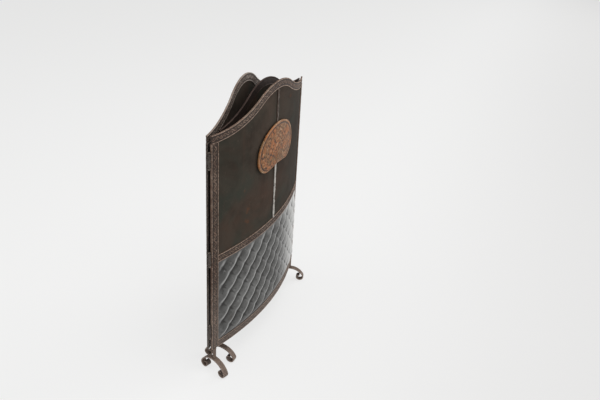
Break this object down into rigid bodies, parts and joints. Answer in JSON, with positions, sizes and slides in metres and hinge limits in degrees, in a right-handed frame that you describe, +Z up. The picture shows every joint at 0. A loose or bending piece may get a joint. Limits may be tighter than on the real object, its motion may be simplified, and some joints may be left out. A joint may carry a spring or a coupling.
{
  "type": "folding fireplace screen",
  "caption": "Free-standing folding fireplace screen: bowed centre panel with camel-back top, tree plaque and quilted metal foot panel, flat wings on ball-tipped hinges, scroll feet.",
  "frame": {"origin": "floor level, under the middle of the folded screen's bounding box", "axes": "+X to the right along the screen, +Y to the back (the side the wings fold to), +Z up; the centre panel bows towards -Y"},
  "size_m": [0.6256, 0.1811, 0.871],
  "materials": {
    "wrought_iron": "stamped wrought iron with brown rust patina",
    "dark_sheet": "dark brown-black patinated sheet",
    "tin_sheet": "grey pewter-like sheet pressed into pillows",
    "copper": "chased copper with worn high spots",
    "worn_steel": "notched bar, bright below the plaque and brown above",
    "hinge_steel": "brown barrels with bright ball tips"
  },
  "bodies": {
    "centre": {"centre_top_rail": "wrought_iron", "centre_post_left": "wrought_iron", "centre_post_right": "wrought_iron", "centre_mid_rail": "wrought_iron", "centre_bottom_rail": "wrought_iron", "centre_upper_sheet": "dark_sheet", "centre_quilted_sheet": "tin_sheet", "trunk_bar": "worn_steel", "tree_plaque": "copper", "centre_left_foot": "wrought_iron", "centre_left_leg": "wrought_iron", "centre_right_foot": "wrought_iron", "centre_right_leg": "wrought_iron", "centre_knuckles_left": "hinge_steel", "centre_knuckles_right": "hinge_steel", "hinge_pins_left": "hinge_steel", "hinge_pins_right": "hinge_steel"},
    "left_wing": {"left_wing_top_rail": "wrought_iron", "left_wing_hinge_post": "wrought_iron", "left_wing_free_post": "wrought_iron", "left_wing_mid_rail": "wrought_iron", "left_wing_bottom_rail": "wrought_iron", "left_wing_upper_sheet": "dark_sheet", "left_wing_quilted_sheet": "tin_sheet", "left_wing_foot": "wrought_iron", "left_wing_leg": "wrought_iron", "left_wing_knuckles": "hinge_steel"},
    "right_wing": {"right_wing_top_rail": "wrought_iron", "right_wing_hinge_post": "wrought_iron", "right_wing_free_post": "wrought_iron", "right_wing_mid_rail": "wrought_iron", "right_wing_bottom_rail": "wrought_iron", "right_wing_upper_sheet": "dark_sheet", "right_wing_quilted_sheet": "tin_sheet", "right_wing_foot": "wrought_iron", "right_wing_leg": "wrought_iron", "right_wing_knuckles": "hinge_steel"}
  },
  "joints": [
    {"name": "left_wing_fold", "type": "hinge", "parent": "centre", "child": "left_wing", "pos_m": [-0.304, -0.03005, 0], "axis": [0, 0, 1], "range_deg": [0, 160]},
    {"name": "right_wing_fold", "type": "hinge", "parent": "centre", "child": "right_wing", "pos_m": [0.304, -0.03005, 0], "axis": [0, 0, -1], "range_deg": [0, 20.8]}
  ],
  "couplings": [
    {"joint": "right_wing_fold", "follows": "left_wing_fold", "ratio": 0.13}
  ]
}
